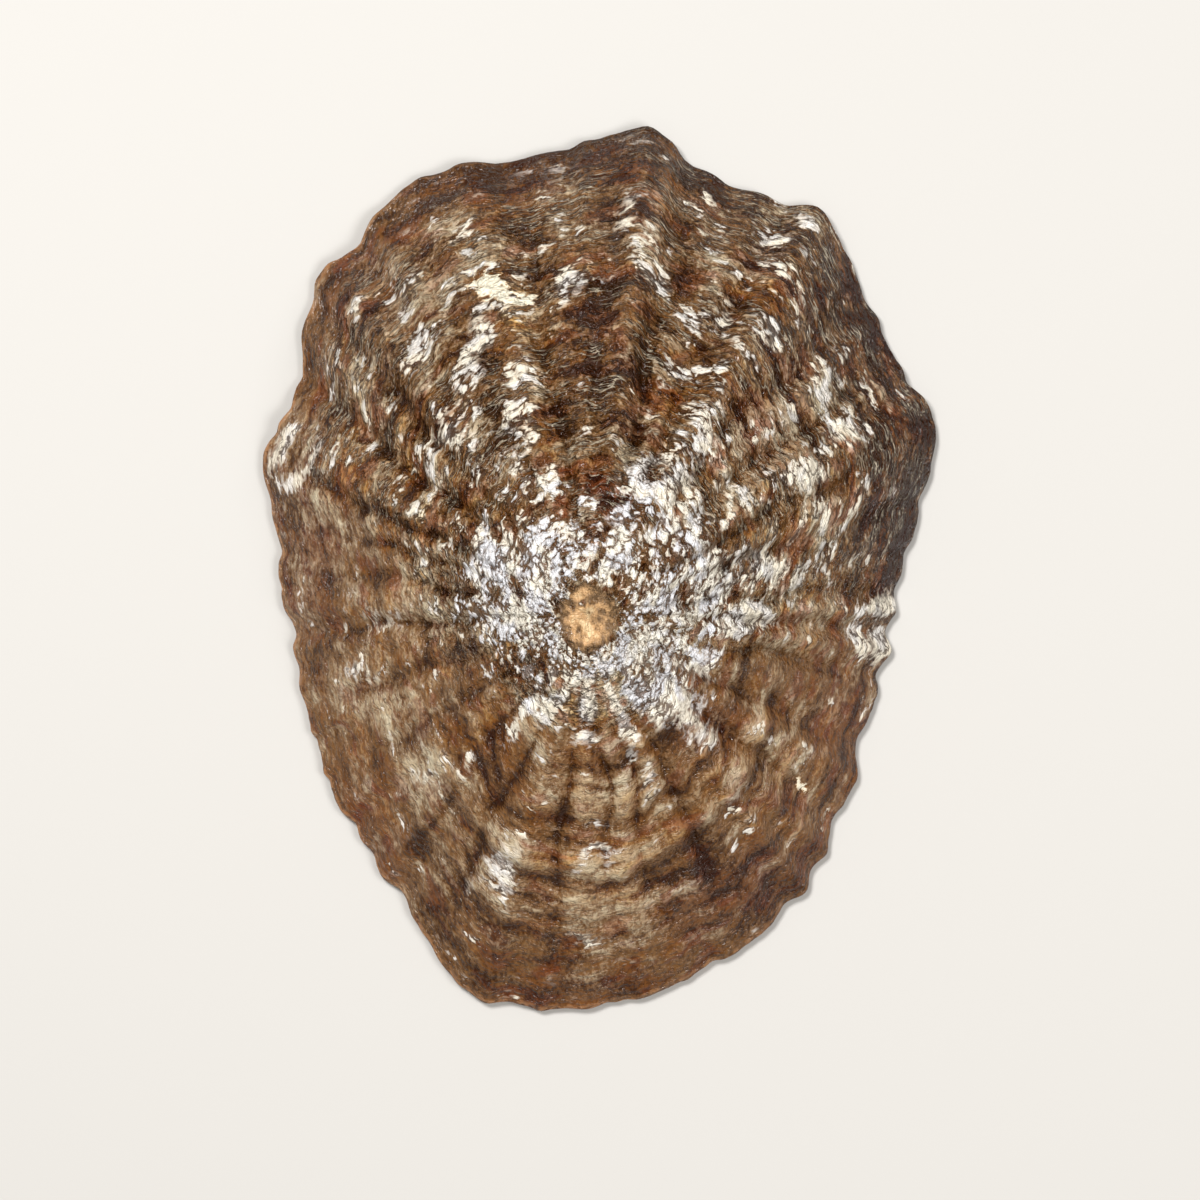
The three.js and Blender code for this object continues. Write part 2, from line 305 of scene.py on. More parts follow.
# %% The ledges
LEDGES = [(0.22, 0.25), (0.37, 0.3), (0.51, 0.4), (0.65, 0.9), (0.8, 0.45), (0.92, 0.25)]  # age, drop in mm
LEDGE_RUN = 0.02


def ledge_relief(age):
    """Climbs as a square to each ledge's brink, then drops in a straight line to its foot."""
    ages, heights = [0.0], [0.0]
    steps = np.linspace(0.1, 1, 10)
    for brink, drop in LEDGES:
        foot = ages[-1]
        ages += [*(foot + steps * (brink - foot)), brink + LEDGE_RUN]
        heights += [*(drop * steps**2), 0.0]
    return np.interp(age, ages, heights)


LEDGE_AGE = AGE + 0.02 * ring_noise(DIRECTION, AGE * 4, 13, 44)
LEDGE_AGE += 0.008 * ring_noise(DIRECTION, AGE * 8, 45, 45)
ledge_strength = blend(0.4, 1.2, smooth_step(-0.6, 0.6, ring_noise(DIRECTION, AGE * 5, 19, 8)))
ledge_strength *= 1 - 0.8 * smooth_side
LEDGE = ledge_relief(LEDGE_AGE) * ledge_strength
Z += LEDGE * off_edge
print(len(LEDGES), "ledges, up to", round(LEDGE.max(), 2), "mm high")

# %% Unevenness, the dip in the tip and the lifted ends of the ribs
SCAR_RADIUS, SCAR_DEPTH = 2.5, 0.5
RIB_END_LIFT = 0.7


def unevenness(x, y):
    """Two long waves that cross each other."""
    wide = 0.35 * np.sin(0.21 * x + 0.9) * np.cos(0.17 * y - 0.4)
    return wide + 0.2 * np.sin(0.33 * x - 0.27 * y + 2.1)


straight_fold, _, straight_reach, _ = fold_shape(degrees)
rib_end_lift = RIB_END_LIFT * np.maximum(0, straight_fold * straight_reach / 2 - 0.3)
Z += (0.7 * THREAD + unevenness(X, Y) * smooth_step(0.1, 0.4, SHARE)) * off_edge
Z -= SCAR_DEPTH * np.exp(-((RADIUS / SCAR_RADIUS) ** 4))
Z += rib_end_lift * SHARE**8
print("The cone is", round(Z.max(), 2), "mm high, and its edge rises", round(rib_end_lift.max(), 2), "mm")

# %% [markdown]
# ### Scales and beads
# Up close the surface is scaly. Between the ledges lie thin growth scales like roof tiles, broken up
# along their length, and round the tip they are worn down to small beads. The material's bump could
# draw them, but they catch the light along the outline too, so the larger ones are in the mesh.

# %% Growth scales
SCALES = 19  # broad growth scales from tip to edge
TILE_TOP = 0.78  # the share of each scale that climbs, before it drops to the next

scale_phase = SCALES * AGE + 0.6 * ring_noise(DIRECTION, AGE * 6, 19, 12)
scale_phase += 0.3 * ring_noise(DIRECTION, AGE * 9, 88, 13)
tile = scale_phase % 1
tile_height = np.where(tile < TILE_TOP, (tile / TILE_TOP) ** 1.8, (1 - tile) / (1 - TILE_TOP))
strength = smooth_step(-0.5, 0.6, ring_noise(DIRECTION, np.floor(scale_phase) * 0.7, 29, 14))
SCALE = (tile_height - 0.35) * strength * rough
# The foot of each scale below is used only as a painted shadow line in the tone.
SCALE_FOOT_SHADOW = np.exp(-((tile / 0.16) ** 2)) * strength * rough
print(SCALES, "growth scales between the tip and the edge")

# %% Beads, lumps and knobs
BEAD_START, BEAD_END = 3.0, 15.0  # mm from the tip

bead_noise = ring_noise(DIRECTION, RADIUS / 1.5, 36, 16) + 0.5 * ring_noise(DIRECTION, RADIUS / 0.7, 84, 17)
BEAD = smooth_step(-0.3, 0.3, bead_noise) - 0.5
BEADED = between(BEAD_START - 0.8, BEAD_START + 0.4, 7, BEAD_END, RADIUS)
LUMP = ring_noise(DIRECTION, RADIUS / 1.3, 74, 18) + 0.6 * ring_noise(DIRECTION, RADIUS / 0.8, 150, 19)
KNOB = ring_noise(DIRECTION, RADIUS / 2.6, 43, 43)
fine = blend(0.5 * SCALE, 0.35 * BEAD, BEADED) * smooth_step(2.2, 3.4, RADIUS)
lumps = (0.12 * LUMP + 0.2 * KNOB) * rough * smooth_step(0.15, 0.4, SHARE)
RELIEF = (fine + lumps) * off_edge
Z += RELIEF
print("Fine relief in mm:", round(RELIEF.min(), 2), "to", round(RELIEF.max(), 2))

# %% The lump of old crust on the edge
CRUST_X, CRUST_Y, CRUST_RADIUS, CRUST_RISE = 26.5, 1.1, 1.1, 1.0
from_crust = np.hypot(X - CRUST_X, Y - CRUST_Y) / CRUST_RADIUS
CRUST = np.exp(-(from_crust**4)) * CRUST_RISE * off_edge
Z += CRUST
print("The crust stands", round(CRUST.max(), 2), "mm high")

# %% The worn scar on the tip
# Each pit is x and y from the tip, its radius and its depth, all in mm. A negative depth is a lump.
SCAR_X, SCAR_Y, SCAR_WIDE, SCAR_LONG = -0.2, -0.4, 2.1, 2.7
SCAR_PITS = [
    (-0.5, 0.88, 0.22, 0.3), (-0.75, 0.72, 0.18, 0.2), (-1.4, 0.43, 0.22, 0.25), (-1.3, 0.15, 0.15, 0.2),
    (0.1, 0.95, 0.2, 0.25), (0.45, 1.0, 0.2, 0.25), (1.2, 0.15, 0.18, 0.2), (1.3, -0.1, 0.15, 0.2),
    (0.63, -1.46, 0.2, 0.25), (-0.36, -1.2, 0.4, -0.25), (0.0, -2.1, 0.6, -0.15), (-0.1, 0.0, 0.6, -0.1),
]
PITTED = np.zeros_like(Z)
for pit_x, pit_y, pit_radius, depth in SCAR_PITS:
    PITTED += depth * np.exp(-((np.hypot(X - pit_x, Y - pit_y) / pit_radius) ** 2))
from_scar = np.hypot((X - SCAR_X) / SCAR_WIDE, (Y - SCAR_Y) / SCAR_LONG)
from_scar += 0.15 * flat_noise(X, Y, 1.1, 23) + 0.08 * flat_noise(X, Y, 0.4, 25)
SCAR_RIM = np.exp(-(((from_scar - 1.12) / 0.12) ** 2))
Z += 0.12 * SCAR_RIM - PITTED + 0.06 * flat_noise(X, Y, 0.5, 27) * (from_scar < 1)
print(len(SCAR_PITS), "pits and lumps in the scar, the deepest", round(PITTED.max(), 2), "mm")

# %% [markdown]
# ## The lip and the inside
# At the edge the surface turns under: a rounded lip, then a narrow flat face that the shell rests on.
# A Solidify modifier could make the inside, but the wall is thicker under the tip and its inner face
# is smooth. So it is a surface of its own, the cone less the wall, with half as many columns.

# %% The lip
LIP_WIDTH, LIP_UNDERCUT = 1.0, 0.2


def ring(radius, height):
    """One ring of points at that distance from the tip and that height."""
    return np.stack([radius * np.cos(direction), radius * np.sin(direction), height], -1)


lip = np.stack([
    ring(margin + 0.05, rib_end_lift + 0.55),
    ring(margin - 0.02, rib_end_lift + 0.2),
    ring(margin - LIP_UNDERCUT, rib_end_lift),
    ring(margin - LIP_UNDERCUT - LIP_WIDTH, rib_end_lift),
])
LIP_AGES = [1.01, 1.02, 1.03, 1.05]
print("The lip is", len(lip), "rings, and its flat face is", LIP_WIDTH, "mm wide")

# %% The inside
WALL_AT_TIP, WALL_AT_FLANK = 3.2, 2.3
INNER_RINGS = 26

inner_share = np.linspace(1, 0, INNER_RINGS + 1)[1:-1]
INNER, INNER_DIRECTION = np.meshgrid(inner_share, direction[::2], indexing="ij")
inner_radius = INNER * (margin[::2] - LIP_UNDERCUT - LIP_WIDTH)
wall = blend(WALL_AT_TIP, WALL_AT_FLANK, smooth_step(0, 0.5, INNER))
inner_relief = fold_relief(INNER, straight_fold[::2], straight_reach[::2])
inner_folds = 0.4 * inner_relief * smooth_step(0.5, 0.9, INNER)
roof = cone_height(inner_radius / margin[::2], INNER_DIRECTION) - wall + inner_folds
inner_z = blend(roof, rib_end_lift[::2], smooth_step(0.85, 1, INNER))
inner_x, inner_y = inner_radius * np.cos(INNER_DIRECTION), inner_radius * np.sin(INNER_DIRECTION)
inside = np.stack([inner_x, inner_y, inner_z], -1)
inner_tip_z = cone_height(np.array([0.0]), 0.0)[0] - WALL_AT_TIP
print("The hollow is", round(inner_tip_z, 1), "mm high")

# %% [markdown]
# ## Making the mesh
# The points are stacked into one long list: the tip, the growth lines, the lip, the inside and the
# inner tip. Bridge Edge Loops could join the rings, but with the points in order the faces are only
# sums on index numbers. Between two equal rings each point makes a square with its neighbours. A fan
# closes each tip, and three triangles join each wide step of the inside to two narrow ones.

# %% Points
tip, inner_tip = [[0, 0, Z[0].mean()]], [[0, 0, inner_tip_z]]
outside = np.stack([X, Y, Z], -1)
points = np.vstack([tip, outside.reshape(-1, 3), lip.reshape(-1, 3), inside.reshape(-1, 3), inner_tip])
points += [TIP_X, TIP_Y, 0]
print(len(points), "points")


# %% Faces
def squares(first, rings, around):
    """Squares between rings of points that follow each other in the list from number first."""
    start = first + np.arange(rings - 1)[:, None] * around + np.arange(around)
    turn = first + np.arange(rings - 1)[:, None] * around + (np.arange(around) + 1) % around
    return np.stack([start, start + around, turn + around, turn], -1).reshape(-1, 4)


def fan(tip, first, around, outwards):
    """Triangles from the point numbered tip to the ring that starts at number first."""
    here, there = first + np.arange(around), first + (np.arange(around) + 1) % around
    corners = [np.full(around, tip), here, there] if outwards else [np.full(around, tip), there, here]
    return np.stack(corners, -1)


def halving(first, next_first, around):
    """Three triangles for each two steps of a ring, which join it to a ring with half as many points."""
    a = first + np.arange(0, around, 2)
    b, c = a + 1, first + (np.arange(0, around, 2) + 2) % around
    p = next_first + np.arange(around // 2)
    q = next_first + (np.arange(around // 2) + 1) % (around // 2)
    return np.vstack([np.stack([a, p, b], -1), np.stack([b, p, q], -1), np.stack([b, q, c], -1)])


outer_rings = RINGS + len(lip)
inner_first = 1 + outer_rings * AROUND
inner_last = inner_first + (INNER_RINGS - 2) * AROUND // 2
quads = np.vstack([
    squares(1, outer_rings, AROUND),
    squares(inner_first, INNER_RINGS - 1, AROUND // 2),
])
triangles = np.vstack([
    fan(0, 1, AROUND, True),
    halving(inner_first - AROUND, inner_first, AROUND),
    fan(len(points) - 1, inner_last, AROUND // 2, False),
])
print(2 * len(quads) + len(triangles), "triangles")

# %% The mesh
mesh = bpy.data.meshes.new("limpet_shell")
mesh.from_pydata(points * MM, [], quads.tolist() + triangles.tolist())
mesh.polygons.foreach_set("use_smooth", np.ones(len(mesh.polygons), bool))
shell = bpy.data.objects.new("limpet_shell", mesh)
bpy.context.scene.collection.objects.link(shell)
print(shell.name, "has", len(mesh.polygons), "faces")

# %% [markdown]
# ## The grain
# The pattern's streaks follow the growth lines, long near the edge and short near the tip. A texture on
# plain x, y and z would run across them. So each point also gets a place in a space of its own, the
# grain, where the direction runs round a ring and the age along it. The round blots of a noise in that
# space come out drawn along the growth lines.

# %% Age, direction and distance of every point
all_age = np.concatenate([[0], AGE.ravel(), np.repeat(LIP_AGES, AROUND), INNER.ravel(), [0]])
all_x, all_y = points[:, 0] - TIP_X, points[:, 1] - TIP_Y
all_direction = np.arctan2(all_y, all_x)
all_radius = np.hypot(all_x, all_y)
print("The farthest point is", round(all_radius.max(), 1), "mm from the tip")


# %% The grain
def on_outside(values):
    """Those numbers of the growth lines put in a list for all points, with 0 for the rest."""
    listed = np.zeros(len(points))
    listed[1 : 1 + values.size] = values.ravel()
    return listed


even_share = SHARE / SHARE.mean(1, keepdims=True) * age[:, None]
grain_age = all_age + 0.5 * on_outside(even_share - AGE)
turns_wide = 2.2 + 16.2 * grain_age
along = 32 * grain_age + 2 * grain_age**2 + 2 * grain_age**3
grain = np.stack([np.cos(all_direction) * turns_wide, np.sin(all_direction) * turns_wide, along], -1)
grain += [40.47, 37.24, 65.9]  # another place in the noise would give another shell of the same kind
print("From tip to edge the grain runs", round(np.ptp(along), 1), "along")

# %% [markdown]
# ## Patches of colour
# Weather and wear have coloured the shell in soft patches: bleached, dark, amber, maroon and pale, and
# a few cream chips. The bleached ones are partly worn shell and partly painted highlight, the glints of
# a glossy shell laid into the colour. The dark ones on the rim are partly painted shade, and the thin
# ones under one ledge are a painted shadow. They could be painted on by brush, but ellipses in a list
# can be moved one by one. Each is x and y from the tip, its length and width in mm, the angle of its
# length in degrees, and its strength. The spokes are thin white rays, partly painted highlight too,
# that run down from the beads towards the head end.

# %% Bleached patches and spokes, partly painted highlight
BLEACHED_AND_GLINTS = [
    (-4, 4.7, 5, 5.4, -30, 1.1), (-8.6, 3.8, 3.6, 4.5, 0, 1), (-5.6, 0.4, 7.2, 4, 0, 1),
    (2.9, 6.5, 2.7, 6.3, 0, 1.1), (8.6, 6.5, 4, 5, -20, 0.9), (7.2, -4.5, 4, 3, 0, 1),
    (6.3, 1.1, 6.3, 2.7, 0, 0.9), (6.6, -7.2, 4.8, 4.2, -20, 1.4), (5.7, -3, 3.2, 3.2, 0, 1.1),
    (3.6, -3.4, 3, 2.4, -45, 0.9), (13.9, -0.9, 6.3, 3.2, -10, 1.2), (15.8, 4.2, 6.3, 3.2, -20, 1),
    (10.4, 3, 5.4, 4, 0, 1), (9.2, -4, 3.6, 2.9, 0, 1.1), (9.4, -8.8, 3.2, 3.6, 0, 0.7),
    (5.9, 12.1, 6.3, 2.7, 10, 0.9), (9.9, 15.8, 2.3, 6.3, -15, 0.7), (11, 20.5, 1.8, 4.5, -20, 0.5),
    (18.9, 11.9, 4.5, 3.2, 35, 1), (23.4, 15.5, 4, 2.3, 20, 0.7), (-10, 23.7, 2, 6.2, 0, 0.9),
    (-15.5, 23.6, 3.2, 3.2, 40, 0.4), (-2, 29.2, 3.2, 2.3, 10, 1), (4.5, 29.3, 5.4, 1.8, 0, 0.7),
    (2.7, 34.8, 1.8, 3.6, -15, 0.8), (16.2, 24.8, 3.2, 2.7, -40, 0.9), (11.7, 27.2, 2.3, 2.3, 0, 0.6),
    (16.6, 38.5, 4.5, 3.6, -20, 0.5), (16.2, 33.3, 4.5, 3.6, 0, 0.5), (-12.6, 16.4, 2.7, 3.2, 0, 0.7),
    (-5.4, 12.8, 5.4, 3.2, -20, 0.7), (-6.3, 16.2, 2.7, 2.3, 0, 0.6), (-24.9, 13.5, 1.4, 4, 0, 1),
    (-26.3, 12.4, 5, 1.4, 0, 1), (-28.2, 14.6, 1.6, 4.5, -15, 0.9), (26.8, 1.1, 2.2, 2.4, 0, 1.6),
    (-29.3, -7.9, 2.7, 2.3, 0, 0.6), (-20.7, -5.2, 2, 1.8, 0, 0.8), (25.4, -3.4, 3.2, 2.7, 15, 1.2),
    (-8.1, -23.2, 2.9, 4, 0, 1), (0.4, -21.6, 3.6, 1.6, 10, 1), (-14, -15.3, 2, 1.8, 0, 0.8),
    (0.9, -29.5, 3.2, 1.6, 0, 0.7), (-17.6, 0.2, 5.4, 2, 0, 0.5),
]
SPOKES = [
    (-5.2, -5, 1.4, 0.9, 45, 1.3), (-4.3, -5.8, 1.4, 0.9, 55, 1.3), (-3.2, -5.8, 1.6, 0.9, 62, 1.3),
    (-1.9, -5.4, 1.5, 0.9, 72, 1.3), (-0.9, -5.6, 1.5, 0.9, 82, 1.3), (0.2, -5.5, 1.5, 0.9, 90, 1.3),
    (1.4, -5.2, 1.6, 0.9, 105, 1.2), (-5.2, -8.2, 2.9, 1.3, 62, 1.4), (-3.7, -8.7, 2.9, 1.5, 68, 1.5),
    (-2.4, -7.1, 1.9, 1.2, 74, 1.3), (-0.2, -8.1, 4, 1.5, 88, 1.5), (-0.5, -11.2, 1.7, 2, 90, 1.1),
    (2.1, -7.9, 2.9, 1, 104, 1.4), (3.1, -9.9, 3, 1.6, 108, 1.2), (3.8, -12.3, 1.6, 1.2, 107, 0.9),
    (6.6, -7.1, 4.3, 3.4, 130, 1.6), (8.5, -9, 2.5, 1.6, 125, 1), (10.1, -10.4, 2.7, 1.6, 125, 0.8),
    (4.6, -4, 1.6, 1.2, 140, 1.3), (3.3, -5, 2.2, 1.1, 125, 1.4), (5.9, -3.3, 1.4, 1.2, 150, 1.2),
    (-6.9, -10.9, 2.5, 1.3, 58, 0.7), (5.2, -14.4, 2, 1, 110, 0.9),
]
print(len(BLEACHED_AND_GLINTS), "bleached patches and", len(SPOKES), "spokes")

# %% Dark, amber and maroon patches
# The dark patches along the rim are partly painted shade where the edge slopes away, and the four thin ones
# from (-22.9, 10.7) to (-12.6, 6.2) are a painted shadow line below a ledge.
DARK = [
    (0.8, 8.6, 5.4, 4.5, 0, 0.7), (-5.4, -5.2, 4, 3, -45, 0.8), (0.4, 22.9, 6.5, 12.5, 0, 1.1),
    (-10.6, -4.2, 3.4, 5.4, 0, 0.9), (4, 28.8, 6.3, 1.4, 0, 0.8), (-9, 15, 3.6, 3, 0, 1),
    (-17.6, 14.4, 3.2, 17.1, 5, 0.7), (-18.7, 4.7, 3.2, 3.6, 0, 0.6), (-13.3, 8.1, 2.3, 5, 0, 0.7),
    (4.5, 35.7, 2.3, 2.3, 0, 1), (-6.3, 34.4, 3.2, 2.7, 0, 0.7), (-11.3, -3, 2.3, 2.7, 0, 0.8),
    (-8.8, -13.3, 2.6, 6.2, -10, 1), (13.6, -5.6, 4.6, 5.4, 0, 0.6), (-2.7, -17, 1.8, 4, 0, 0.6),
    (-15.3, -21.4, 1.8, 2.7, 0, 0.7), (-13.5, -27.7, 2.7, 4.5, 20, 0.7), (9.9, -6.3, 2, 3.2, 0, 0.8),
    (14.8, -2.9, 3.2, 1.8, 0, 0.7), (14.4, -15.1, 3.6, 2.7, 0, 0.6), (8.1, -24.3, 5.4, 3.2, 15, 0.8),
    (18, -24.3, 6.3, 4.5, 35, 0.6), (-4.5, -34.8, 8.1, 4, 0, 0.4), (3.6, -33, 2.7, 5.4, 0, 0.7),
    (27.9, 9.5, 5.5, 14, -5, 1.4), (27, 28.4, 5, 9, -25, 0.9), (-4, 39.6, 22, 8, 8, 1),
    (3.6, 42.3, 7.2, 5, 0, 0.9), (13, 41.4, 6.3, 3.6, -25, 0.9), (27.9, -4.1, 2.7, 3.6, 0, 0.9),
    (15.3, 26.6, 2.7, 2.3, 0, 0.5), (-22.9, 10.7, 4.5, 1, -40, 0.9), (-19.8, 9, 5, 1.3, -17, 1),
    (-16.2, 7.7, 5, 1.3, -24, 1), (-12.6, 6.2, 4.5, 1.3, -20, 0.9), (23.4, 2.9, 3.6, 2.7, 0, 0.5),
]
AMBER = [
    (-22.1, 15.5, 6.3, 9.9, 15, 0.9), (-14.4, 11.9, 5.4, 5.4, 0, 0.7), (15.8, 28.8, 5, 4.7, 0, 1),
    (-17.6, -8.4, 3.6, 2.3, 0, 0.9), (0, -16, 4, 9, 0, 0.6), (-13.5, 37.8, 5.4, 3.6, 30, 0.8),
    (27.9, 17.3, 4.5, 3.6, 0, 0.8), (0.9, -24.1, 10.8, 5.4, 0, 0.6), (9, 19.1, 7.2, 4.5, 40, 0.4),
    (-6.3, -3.4, 5.4, 3.6, 0, 0.6), (-2.7, 24.5, 12.6, 9.9, 0, 0.5), (23.4, -16, 3.2, 11.7, -25, 0.7),
    (-8.1, -12, 5.4, 9.9, 0, 0.5), (-5.4, 38.9, 18, 3.6, 8, 0.4),
]
MAROON = [
    (1.3, 9.6, 6.3, 4.5, -10, 1.4), (-0.3, 5.8, 2.3, 3.6, 0, 0.8), (-24.8, 4.7, 4.5, 9.9, 0, 0.6),
    (15.3, 16.4, 6.3, 7.2, 0, 0.5), (12.6, -25, 10.8, 6.3, 25, 0.7),
    (-20.2, -19.6, 5.4, 11.7, 20, 0.5), (26.8, 10.1, 5.4, 15.3, 0, 0.5),
    (26.1, 25.8, 4.5, 9.9, -25, 0.6), (10.3, -10.2, 6.3, 3.6, 30, 0.8),
    (-21.6, 29, 6.3, 8.1, 45, 0.4), (22.5, -9.7, 4.5, 9.9, 0, 0.5), (5, 36.2, 3.6, 3.6, 0, 0.8),
    (-2.7, -34, 15.3, 3.6, 0, 0.4),
]
print(len(DARK), "dark,", len(AMBER), "amber and", len(MAROON), "maroon patches")

# %% Pale patches and cream chips
PALE = [
    (-25.2, 9, 6, 5, 0, 0.9), (-12, 0.5, 7, 6, 0, 0.6), (19, 19, 9, 9, 0, 0.4),
    (-18.6, -8.3, 10, 3.4, 130, 0.8), (-14, -14.9, 7.2, 3.2, 125, 1),
    (0.5, -15.5, 10, 6, 0, 0.5), (-26.5, 2, 5, 16, 0, 0.5), (-27, 14.4, 7.2, 5.8, 60, 0.7),
    (17.1, 35.7, 9.9, 3.6, -20, 0.7), (0.9, -25.9, 11.7, 7.2, 0, 0.4), (-8.4, -24.1, 6.3, 7.2, 0, 0.5),
    (20.7, 28.1, 4.5, 7.2, 20, 0.3), (-23.4, -6.1, 3.6, 4.5, 0, 0.5), (-14.4, 28.1, 6.3, 8.1, 0, 0.3),
    (16.2, -13.3, 5.4, 5.4, 0, 0.3), (-21.6, 20, 2.7, 6.3, -30, 0.4),
    (-15.3, -28.6, 4.5, 8.1, 25, 0.3),
]
CREAM = [
    (-8.5, 29, 4.3, 2.2, -15, 1), (-6.4, 27.9, 2.5, 2, -35, 0.9),
    (18.4, -15, 1.4, 1, -40, 0.9),
]
print(len(PALE), "pale patches and", len(CREAM), "chips")


# %% Patches as numbers for every point
def patches(spots, ragged_edge):
    """The strongest of the soft ellipses at each point, strength * exp(-0.7 r^2.6), with r = 1 on the line.

    Noise pushes their edges about by ragged_edge, in mm.
    """
    x = all_x + ragged_edge * flat_noise(points[:, 0], points[:, 1], 2.2, 21)
    y = all_y + ragged_edge * flat_noise(points[:, 0], points[:, 1], 2.2, 22)
    mask = np.zeros(len(points))
    for at_x, at_y, length, width, angle, strength in spots:
        turn = math.radians(angle)
        along = (x - at_x) * math.cos(turn) + (y - at_y) * math.sin(turn)
        side = (y - at_y) * math.cos(turn) - (x - at_x) * math.sin(turn)
        away = (2 * along / length) ** 2 + (2 * side / width) ** 2
        mask = np.maximum(mask, strength * np.exp(-0.7 * away**1.3))
    return mask


at_points = {
    "bleached": np.maximum(patches(BLEACHED_AND_GLINTS, 1.2), patches(SPOKES, 0.4)),
    "dark": patches(DARK, 1.0),
    "amber": patches(AMBER, 1.2),
    "maroon": patches(MAROON, 1.2),
    "pale": patches(PALE, 1.2),
    "cream": patches(CREAM, 0.9),
}
for name, values in at_points.items():
    print(f"{(values > 0.5).sum()} points are {name}")

# %% [markdown]
# ## Tone
# Tone is how light the brown is at each point, about 0 where it is darkest and 1 where it is tan.
# Much of it is painted light and shade: crests, brinks and bead tops are painted lighter, as if lit, and
# the hollows, grooves and the feet of ledges darker, as painted shade. The shader could guess both from
# the mesh, by its Pointiness, but numpy still knows ledges, scales and folds by name, so tone is their sum.

# %% Tone from the growth
seasons = ring_noise(DIRECTION, AGE * 24, 11, 31) + 0.8 * ring_noise(DIRECTION, AGE * 44, 37, 32)
FOOT_AFTER, FOOT_WIDTH = 0.028, 0.013  # where the painted shadow line at a ledge's foot lies past its brink, in age
ledge_foot_shadow = np.zeros_like(AGE)
for brink, drop in LEDGES:
    ledge_foot_shadow += (0.3 + drop) * np.exp(-(((LEDGE_AGE - brink - FOOT_AFTER) / FOOT_WIDTH) ** 2))
ribs = ring_noise(DIRECTION, AGE * 5, 57, 46) * between(4, 6, 11, 20, RADIUS)
# Painted light and shade: the LEDGE, SCALE, THREAD, LUMP, KNOB and BEAD terms follow the relief and make
# high places lighter, as if lit, and the feet of ledges and scales get a painted shadow line. seasons, ribs
# and the last noise are the shell's own banding.
TONE = 0.4 + 0.08 * seasons + 0.5 * LEDGE - 0.4 * ledge_foot_shadow * ledge_strength
TONE += 0.3 * ribs + 0.5 * SCALE - 0.5 * SCALE_FOOT_SHADOW + 0.35 * THREAD + 0.12 * LUMP + 0.1 * KNOB
TONE += 0.2 * ring_noise(DIRECTION, AGE * 4.5, 17, 48) + 0.35 * BEAD * BEADED
print("Tone from the growth:", round(TONE.min(), 2), "to", round(TONE.max(), 2))

# %% Tone from the folds
on_head = sector(268, 34)
on_folds = between(0.25, 0.45, 0.75, 0.95, AGE)
broken = smooth_step(-0.5, 0.5, ring_noise(DIRECTION, AGE * 8, 37, 47))
GROOVE_SHADE = np.exp(-((CREST / 0.3) ** 2)) * on_folds * broken
# Painted light and shade: fold crests are made lighter, as if lit, and broken lines in the grooves darker.
TONE += blend(0.3, 0.5, tail_side) * (CREST - 0.65) * on_folds - blend(0.2, 0.5, on_head) * GROOVE_SHADE
print("Tone with the folds:", round(TONE.min(), 2), "to", round(TONE.max(), 2))

# %% Tone by place on the shell
# On the head end's flank the scales' painted light and shadow stand out more and the ground is darker.
# The rim is painted darker all round as shade, a little more towards the tail end. The right side is a
# little lighter, painted light against the shade that the lamp from the upper left leaves there, and the
# first few mm from the tip on the head's side are a little lighter too.
head_scales = smooth_step(0.2, 0.5, -TAILWARD) * between(11, 13, 26, 30, RADIUS)
TONE += (0.3 * SCALE - 0.2 * SCALE_FOOT_SHADOW - 0.1 * ledge_foot_shadow) * head_scales
TONE += 0.2 * np.maximum(np.cos(DIRECTION + 0.45), 0) * (1 - smooth_step(0.6, 0.8, AGE))
TONE += (0.45 * on_head + 0.4 * sector(308, 32)) * between(4, 5.5, 8, 11, RADIUS)
head_shade = smooth_step(-0.1, 0.5, -TAILWARD) * smooth_step(10, 13, RADIUS)
TONE -= 0.26 * head_shade * (1 - smooth_step(0.8, 0.9, AGE))
rim_shade = smooth_step(0.72, 1, AGE) * (0.8 + 0.2 * np.cos(DIRECTION - 1.3))
TONE += 0.12 - 0.5 * rim_shade
print("Tone in all:", round(TONE.min(), 2), "to", round(TONE.max(), 2))

# %% Rugged places, fold flanks, beads, the scar and the bare edge
# Rugged places get deep relief and many flakes, smooth ones little of both. The scar is evenly worn.
on_scar = 1 - smooth_step(0.65, 1.25, from_scar)
rugged = blend(np.maximum(rough, BEADED), 0.5, on_scar)
# flank gives the fold crests and bead tops more white flakes, whose white is partly painted highlight.
flank = 2 * (CREST - 0.55) * on_folds * rough + 1.2 * BEAD * BEADED
beads = BEADED * (1 - 0.85 * on_head * smooth_step(4.8, 5.8, RADIUS))
scar = on_scar * np.clip(1 - 3 * PITTED, 0.3, 1.5)
scar *= 0.66 + 0.4 * flat_noise(X, Y, 0.9, 24) + 0.25 * flat_noise(X, Y, 0.35, 26)
scar += 0.3 * SCAR_RIM * smooth_step(-0.5, 0.5, (X - Y) / 3)
for name, values in dict(beads=beads, scar=scar, tone=TONE, flank=flank, rugged=rugged).items():
    at_points[name] = on_outside(values)

way_to_edge = all_radius / np.interp(all_direction % TURN, direction, margin, period=TURN)
bare_side = smooth_step(0.5, -0.4, np.cos(all_direction - 0.5))
at_points["edge"] = smooth_step(0.985, 0.999, way_to_edge) * bare_side
print(int((at_points["edge"] > 0.5).sum()), "points on the bare edge")

# %% [markdown]
# ### Numbers on the mesh
# A material can read any number that the mesh stores, through an Attribute node. A UV map would hold
# only two numbers a point. A vector attribute holds any three, so the twelve masks go into four of
# them, the grain is a fifth, and the age has one to itself.

# %% Put the numbers on the mesh
STORED = {
    "marks": ["bleached", "dark", "beads"],
    "tints": ["amber", "maroon", "pale"],
    "spots": ["cream", "scar", "edge"],
    "relief": ["tone", "flank", "rugged"],
}


